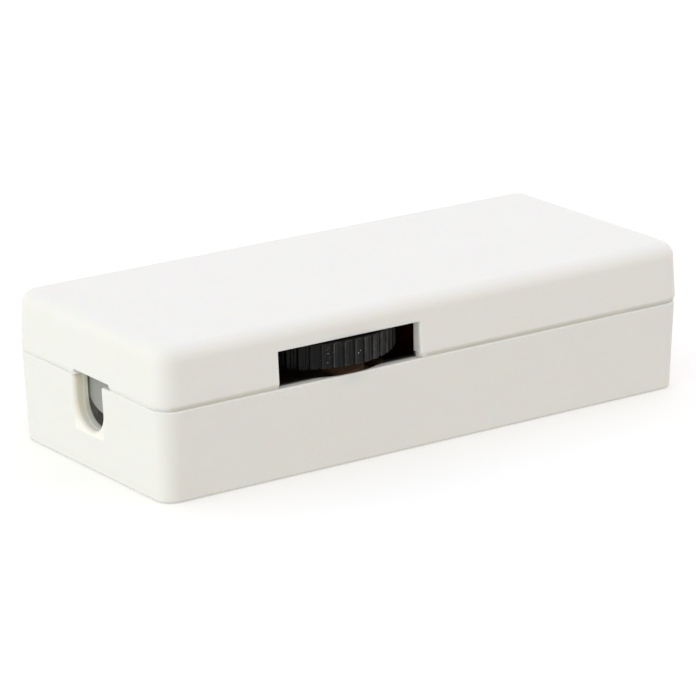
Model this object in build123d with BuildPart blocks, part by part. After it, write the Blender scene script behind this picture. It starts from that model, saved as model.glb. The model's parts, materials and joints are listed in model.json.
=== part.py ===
from build123d import *
import math
import os

# Inline cord dimmer: a two-part moulded box that sits in a lamp cord, with a
# fluted thumbwheel that turns about a vertical axis and shows through a window
# in the long side. Millimetres. Origin on the underside, at the middle of the
# box; +X runs along the box, the window is on the -Y side, +Z is up.

# ------------------------------------------------------------ driving sizes
LENGTH = 90.1            # lid, at the seam
WIDTH = 39.15             # lid, at the seam
HEIGHT = 22.1
SEAM_Z = 13.2           # where lid and base meet
CORNER_R = 3.1           # vertical corners, at the seam
TOP_R = 2.2              # rounding of the lid's upper edge
LID_EDGE_R = 0.85        # rounding of the lid's lower edge, which makes the seam groove
GROOVE_DEPTH = 0.4       # how far in the seam groove reaches
BASE_STEP = 0.1         # the base is this much smaller than the lid, each side
BASE_TOP_R = 0.2
BASE_FOOT_R = 0.5
BASE_DRAFT = 2.6         # degrees
LID_DRAFT = 3.1
WALL_END = 2.3
WALL_SIDE = 2.4
FLOOR_T = 2.2
ROOF_T = 2.0
TONGUE_H = 1.95          # the base's tongue that the lid locates on
TONGUE_IN = 1.5         # lid face to tongue face
TONGUE_GAP = 0.05

# thumbwheel window, in the lid's front wall
WIN_X0, WIN_X1 = -25.95, -2.2
WIN_TOP = 18.55
WIN_WALL = 1.85          # the wall is thinned from inside round the window, clear of the wheel
WIN_POCKET = 1.5
WIN_R_LEFT, WIN_R_RIGHT = 0.15, 0.45

# cord entries, one in each end
CORD_R = 3.5
CORD_BOTTOM = 5.9
CORD_CZ = CORD_BOTTOM + CORD_R
CORD_STEP = 0.07         # the entry is this much wider in the outer part of the wall
CORD_STEP_DEPTH = 1.85
FLARE_R = 0.7            # rounding of the entry's outer edge
SLOT_NEAR, SLOT_FAR = 5.95, 3.3   # the lid's slot over the entry, either side of the middle
SLOT_TOP = 14.1

# thumbwheel and potentiometer
WHEEL_X = -13.65
WHEEL_R = 13.0
WHEEL_PROUD = 0.6
WHEEL_Y = -(WIDTH / 2 - 0.05 + WHEEL_PROUD) + WHEEL_R
WHEEL_Z0, WHEEL_Z1 = 14.6, 18.2
FLUTES = 48
FLUTE_DEPTH = 0.5
FLUTE_W = 0.57
FLUTE_START = 6.25       # degrees, at rest
RELIEF_R = 12.1          # arc scooped out of the front wall's top, about the wheel's axis
RELIEF_DEPTH = 1.1
SHAFT_R = 3.0
SHAFT_FLAT = 1.5
RUN_GAP = 0.05

# circuit board
PCB_L, PCB_W, PCB_T = 68.6, 31.4, 1.6
PCB_Z = 5.0
PCB_TOP = PCB_Z + PCB_T
LEAD_END = 3.8

# screws that hold lid and base together, from below
BOSS_X, BOSS_Y, BOSS_R = 39.1, 13.45, 3.7
BOSS_SPLIT = 11.9
CBORE_R, CBORE_TOP = 2.7, 4.4
# cord clamps
CLAMP_X, CLAMP_HALF_X, CLAMP_HALF_Y = 39.75, 2.5, 9.4
CLAMP_SCREW_Y = 7.1
CLAMP_Z0, CLAMP_Z1 = 10.1, 12.6
HUMP_R, HUMP_BOTTOM = 4.8, 7.95
SADDLE_HALF_X, SADDLE_HALF_Y, SADDLE_TOP = 2.2, 5.2, 4.2

# terminal blocks and their two poles
TERM_X, TERM_L, TERM_W, TERM_H = 30.7, 7.2, 10.6, 7.4
POLE_Y = 2.5
CAGE_L, CAGE_W, CAGE_H = 5.0, 3.6, 4.4

# potentiometer
POT_R, POT_Z0, POT_Z1, POT_TOP = 8.5, 7.5, 11.9, 13.1
WAFER_T = 1.0
ROTOR_R = 6.8

# heat sink along the rear wall, and what stands between it and the front
SINK_X0, SINK_X1, SINK_Y1, SINK_T, SINK_TOP = -3.0, 26.6, 15.3, 1.5, 18.9
TRIAC_X = 13.0
TAB_HOLE_Z = 16.0
CHOKE_X, CHOKE_Y, CHOKE_Z = 13.5, 0.0, 3.5

os.makedirs("parts", exist_ok=True)


def save(built, name):
    built.part.label = name
    export_step(built.part, "parts/" + name + ".step")


BASE_L, BASE_W = LENGTH - 2 * BASE_STEP, WIDTH - 2 * BASE_STEP
IN_L, IN_W = BASE_L - 2 * WALL_END, BASE_W - 2 * WALL_SIDE
TNG_L, TNG_W = LENGTH - 2 * TONGUE_IN, WIDTH - 2 * TONGUE_IN
boss_points = [(sx * BOSS_X, sy * BOSS_Y) for sx in (-1, 1) for sy in (-1, 1)]
clamp_points = [(sx * CLAMP_X, sy * CLAMP_SCREW_Y) for sx in (-1, 1) for sy in (-1, 1)]
pcb_screw_points = [(-30.6, 12.9), (30.6, -12.9)]
pcb_peg_points = [(-30.6, -12.9), (30.6, 12.9)]

# ------------------------------------------------------------ base shell
with BuildPart() as base_shell:
    # drafted outer block, narrowing downwards from the seam
    with BuildSketch(Plane.XY.offset(SEAM_Z)):
        RectangleRounded(BASE_L, BASE_W, CORNER_R)
    extrude(amount=-SEAM_Z, taper=BASE_DRAFT)
    fillet(base_shell.faces().sort_by(Axis.Z)[0].edges(), BASE_FOOT_R)
    fillet(base_shell.faces().sort_by(Axis.Z)[-1].edges(), BASE_TOP_R)
    # cavity
    with BuildSketch(Plane.XY.offset(SEAM_Z)):
        RectangleRounded(IN_L, IN_W, 1.2)
    extrude(amount=-(SEAM_Z - FLOOR_T), taper=BASE_DRAFT, mode=Mode.SUBTRACT)
    # tongue that the lid locates on
    with BuildSketch(Plane.XY.offset(SEAM_Z)):
        RectangleRounded(TNG_L, TNG_W, 1.8)
        RectangleRounded(IN_L, IN_W, 1.2, mode=Mode.SUBTRACT)
    extrude(amount=TONGUE_H)
    # there is no tongue in the thumbwheel window
    with BuildSketch(Plane.XY.offset(SEAM_Z)):
        with Locations(((WIN_X0 + WIN_X1) / 2, -WIDTH / 2)):
            Rectangle(WIN_X1 - WIN_X0 + 2 * WIN_POCKET, 8)
    extrude(amount=5, mode=Mode.SUBTRACT)
    # under the wheel the wall's top is scooped out to an arc, which leaves a thin lip outside
    with BuildSketch(Plane.XY.offset(SEAM_Z - RELIEF_DEPTH)):
        with Locations((WHEEL_X, WHEEL_Y)):
            Circle(RELIEF_R)
    extrude(amount=5, mode=Mode.SUBTRACT)
    # screw bosses, cord saddles, clamp posts and board posts, all up from the floor
    with BuildSketch(Plane.XY.offset(FLOOR_T - 0.5)):
        with Locations(*boss_points):
            Circle(BOSS_R)
    extrude(amount=BOSS_SPLIT - FLOOR_T + 0.5)
    with BuildSketch(Plane.XY.offset(FLOOR_T - 0.5)):
        with Locations((-CLAMP_X, 0), (CLAMP_X, 0)):
            Rectangle(2 * SADDLE_HALF_X, 2 * SADDLE_HALF_Y)
    extrude(amount=SADDLE_TOP - FLOOR_T + 0.5)
    with BuildSketch(Plane.XY.offset(FLOOR_T - 0.5)):
        with Locations(*clamp_points):
            Circle(1.95)
    extrude(amount=CLAMP_Z0 - FLOOR_T + 0.5)
    with BuildSketch(Plane.XY.offset(FLOOR_T - 0.5)):
        with Locations(*pcb_screw_points, *pcb_peg_points):
            Circle(2.4)
    extrude(amount=PCB_Z - FLOOR_T + 0.5)
    with BuildSketch(Plane.XY.offset(PCB_Z - 0.5)):
        with Locations(*pcb_peg_points):
            Circle(0.95)
    extrude(amount=PCB_T + 1.1)
    # cord entries: a U down from the seam through each end wall and each saddle
    for x, r, depth in ((-LENGTH, CORD_R, LENGTH - 35), (35, CORD_R, LENGTH - 35),
                        (-LENGTH, CORD_R + CORD_STEP, LENGTH / 2 + CORD_STEP_DEPTH),
                        (LENGTH / 2 - CORD_STEP_DEPTH, CORD_R + CORD_STEP, 10)):
        with BuildSketch(Plane.YZ.offset(x)):
            with Locations((0, CORD_CZ)):
                Circle(r)
            with Locations((0, CORD_CZ + 10)):
                Rectangle(2 * r, 20)
        extrude(amount=depth, mode=Mode.SUBTRACT)
    fillet(
        base_shell.edges().filter_by(
            lambda e: abs(e.center().X) > BASE_L / 2 - 0.8 and abs(e.center().Y) < CORD_R + 0.3
            and 5.0 < e.center().Z < SEAM_Z - BASE_TOP_R - 0.1),
        FLARE_R,
    )
    # the tongue stops either side of each entry
    with BuildSketch(Plane.XY.offset(SEAM_Z)):
        with Locations((-LENGTH / 2, 0), (LENGTH / 2, 0)):
            Rectangle(12, 2 * SLOT_NEAR + 0.1)
    extrude(amount=5, mode=Mode.SUBTRACT)
    # holes: screw clearance and counterbore from below, pilots from above
    with BuildSketch(Plane.XY.offset(-1)):
        with Locations(*boss_points):
            Circle(CBORE_R)
    extrude(amount=CBORE_TOP + 1, mode=Mode.SUBTRACT)
    with BuildSketch(Plane.XY.offset(-1)):
        with Locations(*boss_points):
            Circle(1.6)
    extrude(amount=BOSS_SPLIT + 2, mode=Mode.SUBTRACT)
    with BuildSketch(Plane.XY.offset(CLAMP_Z0 + 0.5)):
        with Locations(*clamp_points):
            Circle(0.95)
    extrude(amount=-(CLAMP_Z0 + 0.5 - 3.0), mode=Mode.SUBTRACT)
    with BuildSketch(Plane.XY.offset(PCB_Z + 0.5)):
        with Locations(*pcb_screw_points):
            Circle(0.95)
    extrude(amount=-(PCB_Z + 0.5 - 1.2), mode=Mode.SUBTRACT)
save(base_shell, "base_shell")

# ------------------------------------------------------------ lid shell
with BuildPart() as lid_shell:
    with BuildSketch(Plane.XY.offset(SEAM_Z)):
        RectangleRounded(LENGTH, WIDTH, CORNER_R)
    extrude(amount=HEIGHT - SEAM_Z, taper=LID_DRAFT)
    fillet(lid_shell.faces().sort_by(Axis.Z)[-1].edges(), TOP_R)
    fillet(lid_shell.faces().sort_by(Axis.Z)[0].edges(), LID_EDGE_R)
    # the rounding ends at a narrow upright face, so the seam groove stays shallow
    with BuildSketch(Plane.XY.offset(SEAM_Z)):
        RectangleRounded(LENGTH - 2 * GROOVE_DEPTH, WIDTH - 2 * GROOVE_DEPTH, CORNER_R - GROOVE_DEPTH)
    extrude(amount=0.4)
    # cavity, then the rebate for the tongue
    with BuildSketch(Plane.XY.offset(SEAM_Z)):
        RectangleRounded(LENGTH - 5.0, WIDTH - 4.9, 1.2)
    extrude(amount=HEIGHT - ROOF_T - SEAM_Z, taper=LID_DRAFT, mode=Mode.SUBTRACT)
    with BuildSketch(Plane.XY.offset(SEAM_Z)):
        RectangleRounded(TNG_L + 2 * TONGUE_GAP, TNG_W + 2 * TONGUE_GAP, 1.85)
    extrude(amount=TONGUE_H + 0.1, mode=Mode.SUBTRACT)
    # thumbwheel window
    with BuildSketch(Plane.XZ.offset(-0.0)):
        with Locations(((WIN_X0 + WIN_X1) / 2, (SEAM_Z - 3 + WIN_TOP) / 2)):
            Rectangle(WIN_X1 - WIN_X0, WIN_TOP - SEAM_Z + 3)
    extrude(amount=WIDTH, mode=Mode.SUBTRACT)
    with BuildSketch(Plane.XY.offset(SEAM_Z - 1)):
        with Locations(((WIN_X0 + WIN_X1) / 2, -WIDTH / 2 + WIN_WALL + 1.5)):
            Rectangle(WIN_X1 - WIN_X0 + 2 * WIN_POCKET, 3)
    extrude(amount=WIN_TOP + 0.7 - SEAM_Z + 1, mode=Mode.SUBTRACT)
    # a rib makes each jamb as thick in the rebate as above it
    with BuildSketch(Plane.XY.offset(SEAM_Z + 0.05)):
        with Locations(*[(x, -WIDTH / 2 + (0.95 + WIN_WALL) / 2) for x in (WIN_X0 - 0.6, WIN_X1 + 0.6)]):
            Rectangle(1.2, WIN_WALL - 0.95)
    extrude(amount=WIN_TOP - SEAM_Z)
    # screw bosses hang from the roof and meet the base's bosses
    with BuildSketch(Plane.XY.offset(BOSS_SPLIT + 0.05)):
        with Locations(*boss_points):
            Circle(3.2)
    extrude(amount=HEIGHT - ROOF_T + 0.6 - BOSS_SPLIT - 0.05)
    with BuildSketch(Plane.XY.offset(BOSS_SPLIT - 1)):
        with Locations(*boss_points):
            Circle(1.3)
    extrude(amount=18.4 - BOSS_SPLIT + 1, mode=Mode.SUBTRACT)
    # two low stiffening ribs under the roof
    with BuildSketch(Plane.XY.offset(HEIGHT - ROOF_T - 0.9)):
        with Locations((6.0, 0), (27.0, 0)):
            Rectangle(1.0, WIDTH - 6.4)
    extrude(amount=1.4)
    # shallow slots over the cord entries
    with BuildSketch(Plane.XY.offset(SEAM_Z - 1)):
        with Locations((-LENGTH / 2, (SLOT_FAR - SLOT_NEAR) / 2), (LENGTH / 2, (SLOT_NEAR - SLOT_FAR) / 2)):
            Rectangle(12, SLOT_NEAR + SLOT_FAR)
    extrude(amount=SLOT_TOP - SEAM_Z + 1, mode=Mode.SUBTRACT)
    # the window's outer corners are eased
    fillet(
        lid_shell.edges().filter_by(Axis.Z, tolerance=4)
        .filter_by(lambda e: abs(e.center().X - WIN_X1) < 0.02 and e.center().Y < -WIDTH / 2 + 0.6),
        WIN_R_RIGHT,
    )
    fillet(
        lid_shell.edges().filter_by(Axis.Z, tolerance=4)
        .filter_by(lambda e: abs(e.center().X - WIN_X0) < 0.02 and e.center().Y < -WIDTH / 2 + 0.6),
        WIN_R_LEFT,
    )
    # the seam groove ends short of the window's right jamb
    with BuildSketch(Plane.XY.offset(SEAM_Z)):
        with Locations((WIN_X1 + 0.65, -WIDTH / 2 + 0.7)):
            Rectangle(0.7, 1.2)
    extrude(amount=LID_EDGE_R)
save(lid_shell, "lid_shell")

# ------------------------------------------------------------ thumbwheel
with BuildPart() as thumbwheel:
    # fluted rim, web and hub; the D bore is pressed on the shaft
    with BuildSketch(Plane.XY.offset(WHEEL_Z0)):
        with Locations((WHEEL_X, WHEEL_Y)):
            Circle(WHEEL_R)
            with PolarLocations(WHEEL_R, FLUTES, start_angle=FLUTE_START):
                Rectangle(2 * FLUTE_DEPTH, FLUTE_W, mode=Mode.SUBTRACT)
    extrude(amount=WHEEL_Z1 - WHEEL_Z0)
    with BuildSketch(Plane.XY.offset(WHEEL_Z1 - 0.9)):
        with Locations((WHEEL_X, WHEEL_Y)):
            Circle(WHEEL_R - 2.4)
            Circle(4.6, mode=Mode.SUBTRACT)
    extrude(amount=2, mode=Mode.SUBTRACT)
    with BuildSketch(Plane.XY.offset(WHEEL_Z0 + 1.2)):
        with Locations((WHEEL_X, WHEEL_Y)):
            Circle(WHEEL_R - 2.4)
            Circle(4.6, mode=Mode.SUBTRACT)
    extrude(amount=-2, mode=Mode.SUBTRACT)
    with BuildSketch(Plane.XY.offset(POT_TOP + 0.3)):
        with Locations((WHEEL_X, WHEEL_Y)):
            Circle(4.6)
    extrude(amount=WHEEL_Z0 - POT_TOP)
    with BuildSketch(Plane.XY.offset(POT_TOP)):
        with Locations((WHEEL_X, WHEEL_Y)):
            Circle(SHAFT_R)
        with Locations((WHEEL_X, WHEEL_Y + SHAFT_FLAT + 5)):
            Rectangle(12, 10, mode=Mode.SUBTRACT)
    extrude(amount=10, mode=Mode.SUBTRACT)
save(thumbwheel, "thumbwheel")

# ------------------------------------------------------------ potentiometer
with BuildPart() as pot_shaft:
    with BuildSketch(Plane.XY.offset(POT_Z0 + WAFER_T + 0.6)):
        with Locations((WHEEL_X, WHEEL_Y)):
            Circle(2.2)
    extrude(amount=1.2)
    with BuildSketch(Plane.XY.offset(POT_Z0 + WAFER_T + 1.8)):
        with Locations((WHEEL_X, WHEEL_Y)):
            Circle(SHAFT_R)
    extrude(amount=WHEEL_Z1 - POT_Z0 - WAFER_T - 1.8)
    with BuildSketch(Plane.XY.offset(POT_TOP + 0.2)):
        with Locations((WHEEL_X, WHEEL_Y + SHAFT_FLAT + 5)):
            Rectangle(12, 10)
    extrude(amount=10, mode=Mode.SUBTRACT)
save(pot_shaft, "pot_shaft")

with BuildPart() as pot_rotor:
    # moulded disc on the foot of the shaft, with the lug that meets the stop
    with BuildSketch(Plane.XY.offset(POT_Z0 + WAFER_T + 0.6)):
        with Locations((WHEEL_X, WHEEL_Y)):
            Circle(ROTOR_R)
        with Locations((WHEEL_X + ROTOR_R + 0.1, WHEEL_Y)):
            Rectangle(1.2, 2.1)
        with Locations((WHEEL_X, WHEEL_Y)):
            Circle(2.2, mode=Mode.SUBTRACT)
    extrude(amount=1.2)
save(pot_rotor, "pot_rotor")

with BuildPart() as pot_wiper:
    # spring ring under the rotor, with two feet that run on the track
    with BuildSketch(Plane.XY.offset(POT_Z0 + WAFER_T + 0.4)):
        with Locations((WHEEL_X, WHEEL_Y)):
            Circle(3.6)
            Circle(2.3, mode=Mode.SUBTRACT)
        with Locations((WHEEL_X - 4.6, WHEEL_Y - 0.9), (WHEEL_X - 4.6, WHEEL_Y + 0.9)):
            Rectangle(3.4, 1.0)
    extrude(amount=0.2)
    with BuildSketch(Plane.XY.offset(POT_Z0 + WAFER_T + 0.1)):
        with Locations((WHEEL_X - 5.9, WHEEL_Y - 0.9), (WHEEL_X - 5.9, WHEEL_Y + 0.9)):
            Rectangle(0.8, 1.0)
    extrude(amount=0.3)
save(pot_wiper, "pot_wiper")

with BuildPart() as pot_cover:
    # moulded cup with the shaft's bush on top and the stop inside
    with BuildSketch(Plane.XY.offset(POT_Z0)):
        with Locations((WHEEL_X, WHEEL_Y)):
            Circle(POT_R)
    extrude(amount=POT_Z1 - POT_Z0)
    with BuildSketch(Plane.XY.offset(POT_Z1)):
        with Locations((WHEEL_X, WHEEL_Y)):
            Circle(4.4)
    extrude(amount=POT_TOP - POT_Z1)
    with BuildSketch(Plane.XY.offset(POT_Z0)):
        with Locations((WHEEL_X, WHEEL_Y)):
            Circle(POT_R - 0.5)
    extrude(amount=POT_Z1 - POT_Z0 - 0.8, mode=Mode.SUBTRACT)
    with BuildSketch(Plane.XY.offset(POT_Z0)):
        with Locations((WHEEL_X, WHEEL_Y)):
            Circle(SHAFT_R + RUN_GAP)
    extrude(amount=10, mode=Mode.SUBTRACT)
    with BuildSketch(Plane.XY.offset(POT_Z0 + WAFER_T)):
        with Locations((WHEEL_X - POT_R + 0.9, WHEEL_Y)):
            Rectangle(1.2, 4.8)
    extrude(amount=POT_Z1 - POT_Z0 - WAFER_T - 0.4)
    # slot for the terminals, on the front
    with BuildSketch(Plane.XY.offset(POT_Z0)):
        with Locations((WHEEL_X, WHEEL_Y - POT_R)):
            Rectangle(9.0, 3.4)
    extrude(amount=WAFER_T + 0.35, mode=Mode.SUBTRACT)
save(pot_cover, "pot_cover")

with BuildPart() as pot_wafer:
    # phenolic wafer; its printed track lies on the upper face
    with BuildSketch(Plane.XY.offset(POT_Z0)):
        with Locations((WHEEL_X, WHEEL_Y)):
            Circle(POT_R - 0.55)
    extrude(amount=WAFER_T)
    with BuildSketch(Plane.XY.offset(POT_Z0 + WAFER_T - 0.5)):
        with Locations((WHEEL_X, WHEEL_Y)):
            Circle(1.5)
    extrude(amount=1, mode=Mode.SUBTRACT)
    with BuildSketch(Plane.XY.offset(POT_Z0)):
        with Locations((WHEEL_X, WHEEL_Y - POT_R)):
            Rectangle(9.0, 2.6)
    extrude(amount=2, mode=Mode.SUBTRACT)
save(pot_wafer, "pot_wafer")

with BuildPart() as pot_terminals:
    # three tinned strips from the wafer down through the board
    with BuildSketch(Plane.XY.offset(POT_Z0)):
        with Locations(*[(WHEEL_X + d, WHEEL_Y - POT_R + 1.05) for d in (-3.2, 0, 3.2)]):
            Rectangle(1.4, 0.4)
    extrude(amount=WAFER_T)
    with BuildSketch(Plane.XY.offset(LEAD_END)):
        with Locations(*[(WHEEL_X + d, WHEEL_Y - POT_R + 1.05) for d in (-3.2, 0, 3.2)]):
            Rectangle(0.9, 0.4)
    extrude(amount=POT_Z0 - LEAD_END)
save(pot_terminals, "pot_terminals")

# ------------------------------------------------------------ circuit board
pin_points = [(WHEEL_X + d, WHEEL_Y - POT_R + 1.05) for d in (-3.2, 0, 3.2)]
cage_points = [(sx * TERM_X, sy * POLE_Y) for sx in (-1, 1) for sy in (-1, 1)]
triac_pins = [(TRIAC_X + d, 12.9) for d in (-2.54, 0, 2.54)]
lead_points = [(-3.3, -8.6), (-3.3, 0.8), (0.3, -8.6), (0.3, 0.8), (-3.0, 3.6), (-3.0, 9.4),
               (1.9, 5.4), (1.9, 10.0),
               (5.6, -12.3), (20.6, -12.3), (CHOKE_X + 7.6, 5.9), (CHOKE_X + 7.6, -5.9)]
clip_points = [(-23.0, 9.0), (-8.0, 9.0)]
with BuildPart() as circuit_board:
    with BuildSketch(Plane.XY.offset(PCB_Z)):
        RectangleRounded(PCB_L, PCB_W, 1.0)
        with Locations(*pcb_peg_points):
            Circle(1.0, mode=Mode.SUBTRACT)
        with Locations(*pcb_screw_points):
            Circle(1.3, mode=Mode.SUBTRACT)
        with Locations(*pin_points):
            Rectangle(0.95, 0.45, mode=Mode.SUBTRACT)
        with Locations(*cage_points, *triac_pins):
            Circle(0.6, mode=Mode.SUBTRACT)
        with Locations(*lead_points):
            Circle(0.4, mode=Mode.SUBTRACT)
        with Locations(*[(x, y + d) for x, y in clip_points for d in (-1.6, 1.6)]):
            Circle(0.6, mode=Mode.SUBTRACT)
    extrude(amount=PCB_T)
save(circuit_board, "circuit_board")

with BuildPart() as board_screws:
    with BuildSketch(Plane.XY.offset(2.2)):
        with Locations(*pcb_screw_points):
            Circle(0.93)
    extrude(amount=PCB_TOP - 2.2)
    with BuildSketch(Plane.XY.offset(PCB_TOP)):
        with Locations(*pcb_screw_points):
            Circle(2.0)
    extrude(amount=1.3)
    with BuildSketch(Plane.XY.offset(PCB_TOP + 0.6)):
        with Locations(*pcb_screw_points):
            Rectangle(2.4, 0.5)
            Rectangle(0.5, 2.4)
    extrude(amount=1.3, mode=Mode.SUBTRACT)
save(board_screws, "board_screws")

# ------------------------------------------------------------ terminals
for name, sx in (("terminal_block_in", -1), ("terminal_block_out", 1)):
    with BuildPart() as block:
        with BuildSketch(Plane.XY.offset(PCB_TOP)):
            with Locations((sx * TERM_X, 0)):
                Rectangle(TERM_L, TERM_W)
        extrude(amount=TERM_H)
        fillet(block.edges().filter_by(Axis.Z), 0.4)
        # a pocket for each cage, open towards the cord
        with BuildSketch(Plane.XY.offset(PCB_TOP + 0.6)):
            with Locations((sx * (TERM_X + 0.6), -POLE_Y), (sx * (TERM_X + 0.6), POLE_Y)):
                Rectangle(CAGE_L + 1.4, CAGE_W)
        extrude(amount=CAGE_H, mode=Mode.SUBTRACT)
        with BuildSketch(Plane.XY.offset(PCB_TOP + 1)):
            with Locations((sx * TERM_X, -POLE_Y), (sx * TERM_X, POLE_Y)):
                Circle(1.7)
        extrude(amount=TERM_H, mode=Mode.SUBTRACT)
        # passage for each cage's pin
        with BuildSketch(Plane.XY.offset(PCB_TOP)):
            with Locations((sx * TERM_X, -POLE_Y), (sx * TERM_X, POLE_Y)):
                Circle(0.6)
        extrude(amount=1.0, mode=Mode.SUBTRACT)
    save(block, name)

with BuildPart() as terminal_cages:
    with BuildSketch(Plane.XY.offset(PCB_TOP + 0.6)):
        with Locations(*cage_points):
            Rectangle(CAGE_L, CAGE_W)
    extrude(amount=CAGE_H)
    with BuildSketch(Plane.YZ.offset(-50)):
        with Locations((-POLE_Y, PCB_TOP + 0.6 + 1.75), (POLE_Y, PCB_TOP + 0.6 + 1.75)):
            Rectangle(2.4, 2.3)
    extrude(amount=100, mode=Mode.SUBTRACT)
    with BuildSketch(Plane.XY.offset(PCB_TOP + 3)):
        with Locations(*cage_points):
            Circle(1.25)
    extrude(amount=4, mode=Mode.SUBTRACT)
    with BuildSketch(Plane.XY.offset(LEAD_END)):
        with Locations(*cage_points):
            Circle(0.5)
    extrude(amount=PCB_TOP + 0.7 - LEAD_END)
save(terminal_cages, "terminal_cages")

with BuildPart() as terminal_screws:
    with BuildSketch(Plane.XY.offset(PCB_TOP + 3.2)):
        with Locations(*cage_points):
            Circle(1.22)
    extrude(amount=2.0)
    with BuildSketch(Plane.XY.offset(PCB_TOP + 0.6 + CAGE_H)):
        with Locations(*cage_points):
            Circle(1.6)
    extrude(amount=1.7)
    with BuildSketch(Plane.XY.offset(PCB_TOP + 0.6 + CAGE_H + 0.9)):
        with Locations(*cage_points):
            Rectangle(5, 0.5)
    extrude(amount=2, mode=Mode.SUBTRACT)
save(terminal_screws, "terminal_screws")

# ------------------------------------------------------------ cord clamps
for name, sx in (("cord_clamp_in", -1), ("cord_clamp_out", 1)):
    with BuildPart() as clamp:
        with BuildSketch(Plane.XY.offset(CLAMP_Z0)):
            with Locations((sx * CLAMP_X, 0)):
                RectangleRounded(2 * CLAMP_HALF_X, 2 * CLAMP_HALF_Y, 1.0)
        extrude(amount=CLAMP_Z1 - CLAMP_Z0)
        # rounded hump that bears on the cord
        with BuildSketch(Plane.YZ.offset(sx * CLAMP_X - CLAMP_HALF_X)):
            with Locations((0, HUMP_BOTTOM + HUMP_R)):
                Circle(HUMP_R)
            with Locations((0, CLAMP_Z0 + 10.5)):
                Rectangle(30, 20, mode=Mode.SUBTRACT)
        extrude(amount=2 * CLAMP_HALF_X)
        # screw holes and head seats
        with BuildSketch(Plane.XY.offset(CLAMP_Z0 - 1)):
            with Locations((sx * CLAMP_X, -CLAMP_SCREW_Y), (sx * CLAMP_X, CLAMP_SCREW_Y)):
                Circle(1.3)
        extrude(amount=8, mode=Mode.SUBTRACT)
    save(clamp, name)

with BuildPart() as clamp_screws:
    with BuildSketch(Plane.XY.offset(3.4)):
        with Locations(*clamp_points):
            Circle(0.93)
    extrude(amount=CLAMP_Z1 - 3.4)
    with BuildSketch(Plane.XY.offset(CLAMP_Z1)):
        with Locations(*clamp_points):
            Circle(2.2)
    extrude(amount=1.5)
    with BuildSketch(Plane.XY.offset(CLAMP_Z1 + 0.7)):
        with Locations(*clamp_points):
            Rectangle(2.6, 0.55)
            Rectangle(0.55, 2.6)
    extrude(amount=2, mode=Mode.SUBTRACT)
save(clamp_screws, "clamp_screws")

# ------------------------------------------------------------ housing screws
with BuildPart() as housing_screws:
    with BuildSketch(Plane.XY.offset(CBORE_TOP)):
        with Locations(*boss_points):
            Circle(1.27)
    extrude(amount=17.6 - CBORE_TOP)
    with BuildSketch(Plane.XY.offset(CBORE_TOP)):
        with Locations(*boss_points):
            Circle(2.45)
    extrude(amount=-1.8)
    with BuildSketch(Plane.XY.offset(CBORE_TOP - 1.0)):
        with Locations(*boss_points):
            Rectangle(2.8, 0.6)
            Rectangle(0.6, 2.8)
    extrude(amount=-2, mode=Mode.SUBTRACT)
save(housing_screws, "housing_screws")

# ------------------------------------------------------------ power parts
SINK_Y0 = SINK_Y1 - SINK_T
with BuildPart() as heat_sink:
    # folded sheet standing along the rear wall, one end turned inward
    with BuildSketch(Plane.XY.offset(PCB_TOP)):
        with BuildLine():
            Polyline((SINK_X0, SINK_Y1), (SINK_X1, SINK_Y1), (SINK_X1, 8.6), (SINK_X1 - SINK_T, 8.6),
                     (SINK_X1 - SINK_T, SINK_Y0), (SINK_X0, SINK_Y0), close=True)
        make_face()
    extrude(amount=SINK_TOP - PCB_TOP)
    fillet(heat_sink.edges().filter_by(Axis.Z).sort_by(lambda e: e.center().X + e.center().Y)[-1], 1.8)
    with BuildSketch(Plane.XZ.offset(-SINK_Y1 - 1)):
        with Locations((TRIAC_X, TAB_HOLE_Z)):
            Circle(1.6)
    extrude(amount=4, mode=Mode.SUBTRACT)
save(heat_sink, "heat_sink")

with BuildPart() as triac:
    # metal tab, moulded body and three leads
    with BuildSketch(Plane.XZ.offset(-SINK_Y0)):
        with Locations((TRIAC_X, 14.0)):
            Rectangle(10.0, 9.2)
    extrude(amount=1.3)
    with BuildSketch(Plane.XZ.offset(-SINK_Y0 + 0.4)):
        with Locations((TRIAC_X, PCB_TOP + 4.1)):
            Rectangle(10.0, 5.0)
    extrude(amount=4.0)
    with BuildSketch(Plane.XZ.offset(-SINK_Y0 - 1)):
        with Locations((TRIAC_X, TAB_HOLE_Z)):
            Circle(1.6)
    extrude(amount=4, mode=Mode.SUBTRACT)
    with BuildSketch(Plane.XY.offset(LEAD_END)):
        with Locations(*triac_pins):
            Rectangle(0.8, 0.5)
    extrude(amount=PCB_TOP + 1.8 - LEAD_END)
save(triac, "triac")

with BuildPart() as triac_screw:
    with BuildSketch(Plane.XZ.offset(-SINK_Y1 - 1.2)):
        with Locations((TRIAC_X, TAB_HOLE_Z)):
            Circle(1.5)
    extrude(amount=6.6)
    with BuildSketch(Plane.XZ.offset(-SINK_Y1)):
        with Locations((TRIAC_X, TAB_HOLE_Z)):
            Circle(2.7)
    extrude(amount=-1.2)
save(triac_screw, "triac_screw")

with BuildPart() as triac_nut:
    with BuildSketch(Plane.XZ.offset(-SINK_Y0 + 1.3)):
        with Locations((TRIAC_X, TAB_HOLE_Z)):
            RegularPolygon(2.9, 6)
            Circle(1.5, mode=Mode.SUBTRACT)
    extrude(amount=2.0)
save(triac_nut, "triac_nut")

with BuildPart() as suppression_capacitor:
    with BuildSketch(Plane.XY.offset(PCB_TOP)):
        with Locations((13.1, -12.3)):
            Rectangle(18.0, 6.0)
    extrude(amount=11.0)
    fillet(suppression_capacitor.edges().filter_by(Axis.Z), 0.6)
    with BuildSketch(Plane.XY.offset(LEAD_END)):
        with Locations((5.6, -12.3), (20.6, -12.3)):
            Circle(0.35)
    extrude(amount=PCB_TOP - LEAD_END)
save(suppression_capacitor, "suppression_capacitor")

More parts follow.
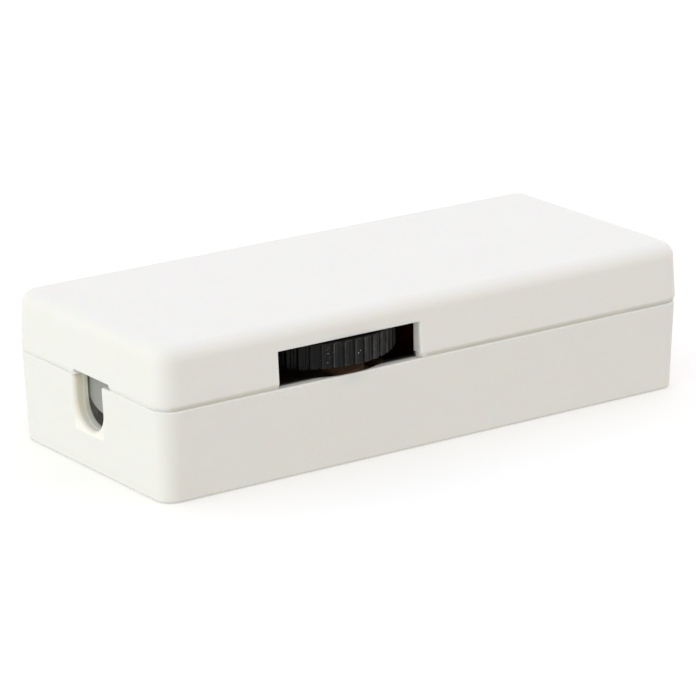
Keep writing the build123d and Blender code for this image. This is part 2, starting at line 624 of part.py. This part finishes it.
with BuildPart() as choke_core:
    with BuildSketch(Plane.XY.offset(PCB_TOP + 1.2)):
        with Locations((CHOKE_X, CHOKE_Y)):
            Circle(7.0)
            Circle(4.4, mode=Mode.SUBTRACT)
    extrude(amount=4.6)
save(choke_core, "choke_core")

with BuildPart() as choke_winding:
    # two layers of enamelled wire as one wrap round the ring, open at one side
    with BuildSketch(Plane.XY.offset(PCB_TOP + 0.1)):
        with Locations((CHOKE_X, CHOKE_Y)):
            Circle(8.1)
            Circle(3.3, mode=Mode.SUBTRACT)
        with Locations((CHOKE_X - 6, CHOKE_Y)):
            Rectangle(6, 3.0, mode=Mode.SUBTRACT)
    extrude(amount=6.8)
    with BuildSketch(Plane.XY.offset(PCB_TOP + 1.2)):
        with Locations((CHOKE_X, CHOKE_Y)):
            Circle(7.0)
            Circle(4.4, mode=Mode.SUBTRACT)
    extrude(amount=4.6, mode=Mode.SUBTRACT)
    # its two ends drop through the board
    with BuildSketch(Plane.XY.offset(LEAD_END)):
        with Locations((CHOKE_X + 7.6, 5.9), (CHOKE_X + 7.6, -5.9)):
            Circle(0.35)
    extrude(amount=PCB_TOP + 1.5 - LEAD_END)
    with BuildSketch(Plane.XY.offset(PCB_TOP + 0.3)):
        with Locations((CHOKE_X + 6.6, 5.2), (CHOKE_X + 6.6, -5.2)):
            Rectangle(3.0, 2.2)
    extrude(amount=0.8)
save(choke_winding, "choke_winding")

with BuildPart() as fuse:
    # glass tube with a cap on each end, one sealed piece
    with BuildSketch(Plane.YZ.offset(-25.5)):
        with Locations((9.0, PCB_TOP + 4.0)):
            Circle(2.3)
    extrude(amount=20.0)
    for x in (-25.5, -11.2):
        with BuildSketch(Plane.YZ.offset(x)):
            with Locations((9.0, PCB_TOP + 4.0)):
                Circle(2.55)
        extrude(amount=5.7)
save(fuse, "fuse")

with BuildPart() as fuse_clips:
    for x in (-25.0, -10.0):
        with BuildSketch(Plane.YZ.offset(x)):
            with Locations((9.0, PCB_TOP + 4.0)):
                Circle(3.0)
                Circle(2.55, mode=Mode.SUBTRACT)
            with Locations((9.0, PCB_TOP + 4.0 + 4.5)):
                Rectangle(3.4, 6.0, mode=Mode.SUBTRACT)
            with Locations((9.0, PCB_TOP + 0.7)):
                Rectangle(4.2, 1.4)
        extrude(amount=4.0)
    with BuildSketch(Plane.XY.offset(LEAD_END)):
        with Locations(*[(x, y + d) for x, y in clip_points for d in (-1.6, 1.6)]):
            Circle(0.5)
    extrude(amount=PCB_TOP + 0.5 - LEAD_END)
save(fuse_clips, "fuse_clips")

# leaded parts lying along Y: a round body and two bent leads
for name, x, y0, y1, z, r, body in (
    ("timing_resistor", -3.3, -8.6, 0.8, PCB_TOP + 1.5, 1.2, 6.3),
    ("damping_resistor", 0.3, -8.6, 0.8, PCB_TOP + 1.5, 1.2, 6.3),
    ("diac", -3.0, 3.6, 9.4, PCB_TOP + 1.2, 0.9, 3.6),
):
    with BuildPart() as leaded:
        with BuildSketch(Plane.XZ.offset(-(y0 + y1 + body) / 2)):
            with Locations((x, z)):
                Circle(r)
        extrude(amount=body)
        with BuildSketch(Plane.XZ.offset(-y1 - 0.3)):
            with Locations((x, z)):
                Circle(0.3)
        extrude(amount=y1 - y0 + 0.6)
        with BuildSketch(Plane.XY.offset(LEAD_END)):
            with Locations((x, y0), (x, y1)):
                Circle(0.3)
        extrude(amount=z + 0.3 - LEAD_END)
    save(leaded, name)

with BuildPart() as timing_capacitor:
    with BuildSketch(Plane.XY.offset(PCB_TOP + 0.2)):
        with Locations((1.9, 7.7)):
            Rectangle(2.6, 7.2)
    extrude(amount=6.6)
    fillet(timing_capacitor.edges(), 0.5)
    with BuildSketch(Plane.XY.offset(LEAD_END)):
        with Locations((1.9, 5.4), (1.9, 10.0)):
            Circle(0.3)
    extrude(amount=PCB_TOP + 0.5 - LEAD_END)
save(timing_capacitor, "timing_capacitor")
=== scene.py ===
import bpy
import bmesh
import json
import math
import random
from mathutils import Matrix, Vector


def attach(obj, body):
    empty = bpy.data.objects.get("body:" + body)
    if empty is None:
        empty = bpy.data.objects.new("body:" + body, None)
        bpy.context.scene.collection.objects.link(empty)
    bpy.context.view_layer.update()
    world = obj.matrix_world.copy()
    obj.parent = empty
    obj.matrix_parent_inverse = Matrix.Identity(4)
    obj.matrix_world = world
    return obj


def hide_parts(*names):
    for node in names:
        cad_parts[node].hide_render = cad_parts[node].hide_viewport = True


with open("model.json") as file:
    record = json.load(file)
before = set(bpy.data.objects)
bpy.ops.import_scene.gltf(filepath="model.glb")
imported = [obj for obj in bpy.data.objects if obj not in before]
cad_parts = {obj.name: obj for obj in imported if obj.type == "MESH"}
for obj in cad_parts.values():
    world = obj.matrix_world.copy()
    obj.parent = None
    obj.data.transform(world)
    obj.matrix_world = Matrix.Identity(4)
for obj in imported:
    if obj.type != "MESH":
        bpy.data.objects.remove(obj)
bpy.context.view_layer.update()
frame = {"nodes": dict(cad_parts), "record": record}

MM = 0.001
scene = bpy.context.scene
scene.view_settings.view_transform = "Standard"
scene.view_settings.look = "None"
scene.view_settings.exposure = 0.0
scene.view_settings.gamma = 1.0

# ---------------------------------------------------------------- camera
AZ, EL, ROLL = math.radians(-34.79), math.radians(16.88), math.radians(0.7145)
F_PX, TX, TY, DIST = 4017.5, 5.93, -13.04, 577.2 * MM
aim = Vector((0, 0, 11.5 * MM))
back = Vector((math.sin(AZ) * math.cos(EL), -math.cos(AZ) * math.cos(EL), math.sin(EL)))
right0 = Vector((math.cos(AZ), math.sin(AZ), 0))
up0 = back.cross(right0)
right = right0 * math.cos(ROLL) - up0 * math.sin(ROLL)
up = right0 * math.sin(ROLL) + up0 * math.cos(ROLL)
cam_data = bpy.data.cameras.new("camera")
cam = bpy.data.objects.new("camera", cam_data)
scene.collection.objects.link(cam)
pos = aim + back * DIST
cam.matrix_world = Matrix((
    (right.x, up.x, back.x, pos.x),
    (right.y, up.y, back.y, pos.y),
    (right.z, up.z, back.z, pos.z),
    (0, 0, 0, 1)))
cam_data.sensor_fit = "HORIZONTAL"
cam_data.sensor_width = 36.0
cam_data.lens = F_PX * 36.0 / 696.0
cam_data.shift_x = -TX / 696.0
cam_data.shift_y = TY / 696.0
cam_data.clip_start = 0.01
cam_data.clip_end = 50
cam_data.dof.use_dof = False
scene.camera = cam

# ---------------------------------------------------------------- light
world = bpy.data.worlds.new("studio")
scene.world = world
world.use_nodes = True
wn, wl = world.node_tree.nodes, world.node_tree.links
wn.clear()
out = wn.new("ShaderNodeOutputWorld")
bg = wn.new("ShaderNodeBackground")
bg.inputs["Strength"].default_value = 1.0
wl.new(bg.outputs[0], out.inputs[0])
# a light tent: bright and faintly warm at the horizon, whiter overhead, with a dim warm lower half that brightens
# to the left and a little to the right. Each half is: its colour, plus one colour times the height (the upper half) or
# the rightness (the lower one), plus one colour times the leftness.
tent = wn.new("ShaderNodeTexCoord")
tent_xyz = wn.new("ShaderNodeSeparateXYZ")
wl.new(tent.outputs["Generated"], tent_xyz.inputs[0])
tent_half = wn.new("ShaderNodeMapRange")
tent_half.inputs["From Min"].default_value = -0.02
tent_half.inputs["From Max"].default_value = 0.02
wl.new(tent_xyz.outputs[2], tent_half.inputs["Value"])
tent_left = wn.new("ShaderNodeMapRange")
tent_left.inputs["From Min"].default_value = 0.0
tent_left.inputs["From Max"].default_value = -1.0
wl.new(tent_xyz.outputs[0], tent_left.inputs["Value"])
tent_high = wn.new("ShaderNodeMapRange")
wl.new(tent_xyz.outputs[2], tent_high.inputs["Value"])
tent_right = wn.new("ShaderNodeMapRange")
wl.new(tent_xyz.outputs[0], tent_right.inputs["Value"])
tent_mix = wn.new("ShaderNodeMix")
tent_mix.data_type = "RGBA"
wl.new(tent_half.outputs[0], tent_mix.inputs[0])
for socket, base, by, more, left in ((6, (0.1, 0.1, 0.1), tent_right, (0.5, 0.5, 0.5), (1.308, 1.388, 1.396)),
                                     (7, (1.268, 1.123, 0.898), tent_high, (-0.364, -0.145, 0.262),
                                      (-0.057, 0.013, -0.032))):
    add_more = wn.new("ShaderNodeVectorMath")
    add_more.operation = "MULTIPLY_ADD"
    wl.new(by.outputs[0], add_more.inputs[0])
    add_more.inputs[1].default_value = more
    add_more.inputs[2].default_value = base
    add_left = wn.new("ShaderNodeVectorMath")
    add_left.operation = "MULTIPLY_ADD"
    wl.new(tent_left.outputs[0], add_left.inputs[0])
    add_left.inputs[1].default_value = left
    wl.new(add_more.outputs[0], add_left.inputs[2])
    wl.new(add_left.outputs[0], tent_mix.inputs[socket])
wl.new(tent_mix.outputs[2], bg.inputs["Color"])


def area(name, at, towards, size, power, color=(1, 1, 1)):
    data = bpy.data.lights.new(name, "AREA")
    data.shape = "RECTANGLE"
    data.size, data.size_y = size
    data.energy = power
    data.color = color
    ob = bpy.data.objects.new(name, data)
    scene.collection.objects.link(ob)
    at, towards = Vector(at), Vector(towards)
    ob.location = at
    ob.rotation_euler = (towards - at).to_track_quat("-Z", "Y").to_euler()
    return ob


area("left_box", (-1.0, 0.0, 0.35), (0, 0, 0.01), (0.6, 0.6), 0.05, (0.958, 1.0, 0.9))

# ---------------------------------------------------------------- floor
bpy.ops.mesh.primitive_plane_add(size=60, location=(0, 0, 0))
floor = bpy.context.object
floor.name = "floor"
# the tent's lower half lights the sides, not the paper
floor.visible_diffuse = False
floor.visible_shadow = False
fm = bpy.data.materials.new("floor_paper")
fm.use_nodes = True
fb = fm.node_tree.nodes["Principled BSDF"]
fb.inputs["Base Color"].default_value = (0.97, 0.95, 0.92, 1)
fb.inputs["Emission Color"].default_value = (1.0, 0.98, 0.95, 1)
fb.inputs["Emission Strength"].default_value = 0.10
fb.inputs["Roughness"].default_value = 0.9
fb.inputs["Specular IOR Level"].default_value = 0.1
floor.data.materials.append(fm)


# ---------------------------------------------------------------- materials
def material(name, color, rough, metallic=0.0, spec=0.5, noise=900.0, tint=0.03,
             rough_var=0.06, bump=0.02, bump_scale=2600.0, coat=0.0, specks=(), dust=0.0, sss=0.0,
             lines=None, edge_highlight=None, zones=()):
    """A procedural finish: faint mottling of colour and gloss, and a fine moulded or rolled grain.

    specks: single marks, (place in mm, size in mm, strength, colour). dust: how many pale grains lie on it.
    lines: (axis, pitch in mm, strength) of a brushed, rolled or wound grain.
    edge_highlight: the colour of the painted highlight that the mesh attribute of this name lays along its edges.
    zones: soft-edged boxes of another colour, (low corner, high corner, softness along x, y and z at both ends in mm,
    colour)."""
    m = bpy.data.materials.new(name)
    m.use_nodes = True
    n, l = m.node_tree.nodes, m.node_tree.links
    b = n["Principled BSDF"]
    b.inputs["Metallic"].default_value = metallic
    b.inputs["Specular IOR Level"].default_value = spec
    b.inputs["Coat Weight"].default_value = coat
    if sss:
        b.inputs["Subsurface Weight"].default_value = sss
        b.inputs["Subsurface Radius"].default_value = (1.0, 0.72, 0.5)
        b.inputs["Subsurface Scale"].default_value = 0.0008
    tc = n.new("ShaderNodeTexCoord")
    no = n.new("ShaderNodeTexNoise")
    no.inputs["Scale"].default_value = noise
    no.inputs["Detail"].default_value = 4
    l.new(tc.outputs["Object"], no.inputs["Vector"])
    ramp = n.new("ShaderNodeValToRGB")
    ramp.color_ramp.elements[0].position = 0.3
    ramp.color_ramp.elements[1].position = 0.7
    lo = [max(0, c * (1 - tint)) for c in color]
    hi = [min(1, c * (1 + tint)) for c in color]
    ramp.color_ramp.elements[0].color = (*lo, 1)
    ramp.color_ramp.elements[1].color = (*hi, 1)
    l.new(no.outputs["Fac"], ramp.inputs["Fac"])
    col = ramp.outputs["Color"]

    def mix(fac, colour):
        nonlocal col
        mx = n.new("ShaderNodeMix")
        mx.data_type = "RGBA"
        l.new(fac, mx.inputs[0])
        l.new(col, mx.inputs[6])
        mx.inputs[7].default_value = (*colour, 1)
        col = mx.outputs[2]

    # painted highlight along the edges that the mesh attribute marks, made patchy by the mottling noise
    if edge_highlight:
        at_edge = n.new("ShaderNodeAttribute")
        at_edge.attribute_name = "edge_highlight"
        patchy = n.new("ShaderNodeMapRange")
        patchy.inputs["From Min"].default_value = 0.35
        patchy.inputs["From Max"].default_value = 0.6
        patchy.inputs["To Min"].default_value = 0.55
        patchy.inputs["To Max"].default_value = 1.0
        l.new(no.outputs["Fac"], patchy.inputs["Value"])
        highlight_fac = n.new("ShaderNodeMath")
        highlight_fac.operation = "MULTIPLY"
        l.new(at_edge.outputs["Fac"], highlight_fac.inputs[0])
        l.new(patchy.outputs[0], highlight_fac.inputs[1])
        mix(highlight_fac.outputs[0], edge_highlight)
    for at, size, strength, colour in specks:
        wob = n.new("ShaderNodeTexNoise")
        wob.inputs["Scale"].default_value = 5000
        l.new(tc.outputs["Object"], wob.inputs["Vector"])
        d = n.new("ShaderNodeVectorMath")
        d.operation = "DISTANCE"
        d.inputs[1].default_value = [c * MM for c in at]
        l.new(tc.outputs["Object"], d.inputs[0])
        add = n.new("ShaderNodeMath")
        add.operation = "MULTIPLY_ADD"
        add.inputs[1].default_value = size * MM * 0.8
        l.new(wob.outputs["Fac"], add.inputs[0])
        l.new(d.outputs["Value"], add.inputs[2])
        mr = n.new("ShaderNodeMapRange")
        mr.inputs["From Min"].default_value = size * MM * 0.7
        mr.inputs["From Max"].default_value = size * MM * 1.1
        mr.inputs["To Min"].default_value = strength
        mr.inputs["To Max"].default_value = 0.0
        l.new(add.outputs[0], mr.inputs["Value"])
        mix(mr.outputs[0], colour)
    if zones:
        xyz = n.new("ShaderNodeSeparateXYZ")
        l.new(tc.outputs["Object"], xyz.inputs[0])
    for low, high, soft, colour in zones:
        inside = None
        for k in range(3):
            for edge, step in ((low[k], soft[k][0]), (high[k], -soft[k][1])):
                side = n.new("ShaderNodeMapRange")
                side.interpolation_type = "SMOOTHSTEP"
                side.inputs["From Min"].default_value = edge * MM
                side.inputs["From Max"].default_value = (edge + step) * MM
                l.new(xyz.outputs[k], side.inputs["Value"])
                if inside is None:
                    inside = side.outputs[0]
                    continue
                times = n.new("ShaderNodeMath")
                times.operation = "MULTIPLY"
                l.new(inside, times.inputs[0])
                l.new(side.outputs[0], times.inputs[1])
                inside = times.outputs[0]
        mix(inside, colour)
    if dust:
        vo = n.new("ShaderNodeTexVoronoi")
        vo.inputs["Scale"].default_value = 1500
        l.new(tc.outputs["Object"], vo.inputs["Vector"])
        near = n.new("ShaderNodeMapRange")
        near.inputs["From Min"].default_value = 0.10
        near.inputs["From Max"].default_value = 0.22
        near.inputs["To Min"].default_value = 1.0
        near.inputs["To Max"].default_value = 0.0
        l.new(vo.outputs["Distance"], near.inputs["Value"])
        patch = n.new("ShaderNodeTexNoise")
        patch.inputs["Scale"].default_value = 260
        patch.inputs["Detail"].default_value = 2
        l.new(tc.outputs["Object"], patch.inputs["Vector"])
        where = n.new("ShaderNodeMapRange")
        where.inputs["From Min"].default_value = 0.52
        where.inputs["From Max"].default_value = 0.72
        where.inputs["To Min"].default_value = 0.0
        where.inputs["To Max"].default_value = dust
        l.new(patch.outputs["Fac"], where.inputs["Value"])
        both = n.new("ShaderNodeMath")
        both.operation = "MULTIPLY"
        l.new(near.outputs[0], both.inputs[0])
        l.new(where.outputs[0], both.inputs[1])
        mix(both.outputs[0], (0.5, 0.49, 0.46))
    l.new(col, b.inputs["Base Color"])
    rr = n.new("ShaderNodeMapRange")
    rr.inputs["To Min"].default_value = max(0.02, rough - rough_var)
    rr.inputs["To Max"].default_value = min(1.0, rough + rough_var)
    l.new(no.outputs["Fac"], rr.inputs["Value"])
    l.new(rr.outputs[0], b.inputs["Roughness"])
    fine = n.new("ShaderNodeTexNoise")
    fine.inputs["Scale"].default_value = bump_scale
    fine.inputs["Detail"].default_value = 3
    l.new(tc.outputs["Object"], fine.inputs["Vector"])
    height = fine.outputs["Fac"]
    if lines:
        axis, pitch, strength = lines
        wv = n.new("ShaderNodeTexWave")
        wv.wave_type = "BANDS"
        wv.bands_direction = axis
        wv.inputs["Scale"].default_value = 0.314 / (pitch * MM)
        wv.inputs["Distortion"].default_value = 1.2
        l.new(tc.outputs["Object"], wv.inputs["Vector"])
        ma = n.new("ShaderNodeMath")
        ma.operation = "MULTIPLY_ADD"
        ma.inputs[1].default_value = strength
        l.new(wv.outputs["Fac"], ma.inputs[0])
        l.new(height, ma.inputs[2])
        height = ma.outputs[0]
    bp = n.new("ShaderNodeBump")
    bp.inputs["Strength"].default_value = bump
    bp.inputs["Distance"].default_value = 0.0002
    l.new(height, bp.inputs["Height"])
    l.new(bp.outputs["Normal"], b.inputs["Normal"])
    return m


GREY_SPECK = (0.30, 0.29, 0.26)
M = {
    "shell": material("shell_plastic", (0.86, 0.845, 0.815), 0.50, spec=0.35, noise=120, tint=0.006, rough_var=0.03,
                      bump=0.06, sss=0.5,
                      zones=(
                          # painted shade: the inner part of the base's wall top under the window is painted near
                          # black, darker inwards
                          ((-26.4, -19.42, 12.95), (-1.5, -16.0, 14.0), ((0.3, 0.3), (1.9, 0.1), (0.2, 0.1)),
                           (0.012, 0.010, 0.007)),
                          # painted shade in the long side's groove, and painted light in the end's groove, which is
                          # painted lighter than the shell
                          ((-43.6, -20.0, 13.14), (44.5, -18.2, 14.1), ((0.6, 0.6), (0.1, 0.1), (0.08, 0.4)),
                           (0.785, 0.76, 0.70)),
                          ((-45.2, -17.5, 13.14), (-43.8, 18.5, 13.8), ((0.1, 0.1), (1.5, 1.5), (0.08, 0.4)),
                           (0.95, 0.935, 0.895)),
                          # painted light on the walls of the cord entries: painted lighter at the bottom, and painted
                          # warm yellow light above
                          ((-45.4, -3.95, 5.2), (-42.2, 3.95, 8.6), ((0.1, 0.1), (0.3, 0.3), (0.2, 2.6)),
                           (0.97, 0.92, 0.87)),
                          ((42.2, -3.95, 5.2), (45.4, 3.95, 8.6), ((0.1, 0.1), (0.3, 0.3), (0.2, 2.6)),
                           (0.97, 0.92, 0.87)),
                          ((-45.4, -3.95, 5.4), (-42.2, 3.95, 13.3), ((0.1, 0.1), (0.3, 0.3), (3.2, 0.1)),
                           (0.88, 0.845, 0.735)),
                          ((42.2, -3.95, 5.4), (45.4, 3.95, 13.3), ((0.1, 0.1), (0.3, 0.3), (3.2, 0.1)),
                           (0.88, 0.845, 0.735))),
                      specks=(((1.2, -19.2, 20.6), 0.20, 0.45, GREY_SPECK), ((-25.0, -19.45, 11.8), 0.18, 0.4, GREY_SPECK),
                              ((-44.95, -11.6, 13.4), 0.22, 0.5, GREY_SPECK), ((10.9, -19.3, 13.45), 0.16, 0.5, GREY_SPECK),
                              ((41.5, 11.2, 22.1), 0.20, 0.35, GREY_SPECK),
                              ((39.4, -3.7, 22.1), 0.20, 0.35, GREY_SPECK))),
    # the pale grey along the teeth's edges is a painted highlight
    "wheel": material("wheel_plastic", (0.0060, 0.0060, 0.0064), 0.36, spec=0.145, noise=700, tint=0.15, bump=0.12,
                      dust=0.25, edge_highlight=(0.085, 0.083, 0.082),
                      # painted shade: the rim's left part is painted blacker, which also covers its painted edge
                      # highlights there
                      zones=(((-27.5, -21.0, 13.0), (-16.6, 6.0, 19.0), ((0.1, 4.8), (0.1, 0.1), (0.1, 0.1)),
                              (0.0012, 0.0012, 0.0012)),),
                      specks=[(at, size, 0.9, (0.62, 0.61, 0.58)) for at, size in (
                          ((-19.0, -18.97, 15.2), 0.16), ((-18.8, -19.05, 14.9), 0.14), ((-17.85, -19.42, 16.8), 0.12),
                          ((-17.6, -19.5, 16.1), 0.12), ((-13.2, -20.1, 16.2), 0.14), ((-12.9, -20.1, 16.5), 0.12),
                          ((-10.9, -19.8, 15.0), 0.12), ((-17.9, -19.4, 15.5), 0.10))]),
    "board": material("phenolic", (0.14, 0.07, 0.025), 0.55, noise=500, tint=0.12, bump=0.12),
    "nylon": material("nylon", (0.345, 0.355, 0.340), 0.5, noise=400, tint=0.04),
    "terminal": material("terminal_plastic", (0.03, 0.032, 0.035), 0.4, noise=600, tint=0.1),
    "brass": material("brass", (0.62, 0.43, 0.16), 0.3, metallic=1.0, noise=1500, tint=0.06),
    "zinc_steel": material("zinc_steel", (0.55, 0.57, 0.60), 0.32, metallic=1.0, noise=1500, tint=0.05),
    "aluminium": material("aluminium", (0.66, 0.67, 0.68), 0.38, metallic=1.0, noise=800, tint=0.04,
                          bump=0.1, lines=("Z", 0.12, 0.6)),
    "tin": material("tin", (0.6, 0.6, 0.58), 0.35, metallic=1.0, noise=1500, tint=0.05),
    "black_part": material("epoxy", (0.02, 0.02, 0.022), 0.55, noise=1200, tint=0.1, bump=0.2),
    "brown_cup": material("moulded_phenolic", (0.52, 0.335, 0.20), 0.5, noise=700, tint=0.12, bump=0.15,
                          # painted shade: the cup's left part is painted near black, fading in towards the right
                          zones=(((-30.0, -20.0, 0.0), (-12.3, 5.0, 20.0), ((0.1, 2.2), (0.1, 0.1), (0.1, 0.1)),
                                  (0.035, 0.021, 0.012)),)),
    "white_pin": material("white_acetal", (0.75, 0.74, 0.70), 0.35, noise=300, tint=0.02),
    "film_cap": material("film_box", (0.02, 0.023, 0.032), 0.4, noise=300, tint=0.05),
    "small_cap": material("dipped_film", (0.02, 0.09, 0.035), 0.3, noise=300, tint=0.08),
    "ferrite": material("iron_powder", (0.035, 0.035, 0.038), 0.7, noise=1800, tint=0.2, bump=0.3),
    "enamelled": material("enamelled_wire", (0.36, 0.09, 0.025), 0.25, metallic=0.8, noise=1500, tint=0.1),
    "resistor": material("lacquer", (0.48, 0.30, 0.14), 0.35, noise=500, tint=0.06),
    "fuse_glass": material("fuse_glass", (0.7, 0.75, 0.72), 0.1, noise=300, tint=0.02),
    "diac_glass": material("small_glass", (0.03, 0.09, 0.25), 0.12, noise=300, tint=0.05),
}
for sub in frame["record"]["subparts"]:
    ob = frame["nodes"][sub["node"]]
    mat = M[sub["material_slot"]]
    ob.data.materials.clear()
    ob.data.materials.append(mat)


# ---------------------------------------------------------------- thumbwheel
def finish_mesh(name, bm, slot, node, body, smooth_angle=32):
    me = bpy.data.meshes.new(name)
    bmesh.ops.recalc_face_normals(bm, faces=bm.faces)
    bm.to_mesh(me)
    bm.free()
    ob = bpy.data.objects.new(name, me)
    scene.collection.objects.link(ob)
    me.materials.append(M[slot])
    for p in me.polygons:
        p.use_smooth = True
    me.set_sharp_from_angle(angle=math.radians(smooth_angle))
    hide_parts(node)
    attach(ob, body)
    return ob


def thumbwheel():
    cx, cy, radius = -13.65, -7.125, 13.0
    z0, z1, zh = 14.6, 18.2, 13.4
    teeth, start, groove, depth, soft = 48, 6.25, 0.57, 0.5, 0.16
    rim = radius - 2.4
    pitch = math.radians(360 / teeth)
    half = groove / 2 / radius
    # angles across one pitch, from the middle of a groove to the next, with more of them at the edges
    steps = [0.0, half * 0.45, half * 0.8, half * 0.97, half * 1.05, half * 1.25, half * 1.6, half * 2.1,
             pitch * 0.38, pitch * 0.5]
    steps = steps + [pitch - s for s in reversed(steps[1:-1])]

    def outer(a):
        """Radius of the rim's outline: square grooves, eased edges, and tooth lands that dip a little."""
        u = min(a, pitch - a)
        if u < half * 0.8:
            return radius - depth + 0.03 * (u / half) ** 2
        if u < half * 0.97:
            return radius - depth + 0.08
        if u < half * 1.05:
            return radius - soft * 0.75
        if u < half * 1.25:
            return radius - soft * 0.35
        if u < half * 1.6:
            return radius - soft * 0.08
        if u < half * 2.1:
            return radius
        return radius - 0.05 * math.sin((u - half * 2.1) / (pitch / 2 - half * 2.1) * math.pi / 2)

    c = 0.16
    bm = bmesh.new()
    highlight_layer = bm.verts.layers.float.new("edge_highlight")
    rng = random.Random(11)
    tone = [rng.uniform(0.5, 1.15) for _ in range(teeth)]
    rings = []
    for k in range(teeth):
        for s in steps:
            a = math.radians(start) + k * pitch + s
            ro = outer(s)
            phi = a - math.pi / 2
            bore = 3.0
            if math.cos(phi) > 0.5:
                bore = min(3.0, 1.5 / math.cos(phi))
            loop = [(bore + 0.01, zh), (4.45, zh), (4.6, zh + 0.15), (4.6, z0 + 1.0), (4.8, z0 + 1.2),
                    (rim - 0.3, z0 + 1.2), (rim, z0 + 1.0), (rim, z0 + 0.12), (rim + 0.12, z0),
                    (ro - c, z0), (ro - c * 0.3, z0 + c * 0.3), (ro, z0 + c),
                    (ro, z1 - c), (ro - c * 0.3, z1 - c * 0.3), (ro - c, z1),
                    (rim + 0.12, z1), (rim, z1 - 0.12), (rim, z1 - 0.8), (rim - 0.3, z1 - 0.9),
                    (4.8, z1 - 0.9), (4.6, z1 - 0.75), (4.6, z1 - 0.12), (4.48, z1), (bore + 0.01, z1)]
            rings.append([bm.verts.new(((cx + r * math.cos(a)) * MM, (cy + r * math.sin(a)) * MM, z * MM))
                          for r, z in loop])
            # painted highlights on each tooth's eased edges, the leading one brightest, with a fainter line beside it
            # and a faint one on the chamfers of its top and bottom, stronger on some teeth than others
            u = min(s, pitch - s) / half
            lead = s < pitch / 2
            edge_light = (0.9 if lead else 0.34) if 0.97 <= u <= 1.3 else 0.0
            if lead and abs(s - pitch * 0.38) < 0.001:
                edge_light = 0.30
            for v, (r, z) in zip(rings[-1], loop):
                rim_highlight = 0.22 if ro - c * 0.5 < r < ro - 0.001 and u > 0.9 else 0.0
                v[highlight_layer] = tone[k] * max(edge_light if r >= ro - 0.001 else 0.0, rim_highlight)
    n = len(rings)
    for i in range(n):
        p, q = rings[i], rings[(i + 1) % n]
        for j in range(len(p)):
            k = (j + 1) % len(p)
            bm.faces.new((p[j], q[j], q[k], p[k]))
    return finish_mesh("thumbwheel_rim", bm, "wheel", "thumbwheel", "wheel", 38)


thumbwheel()
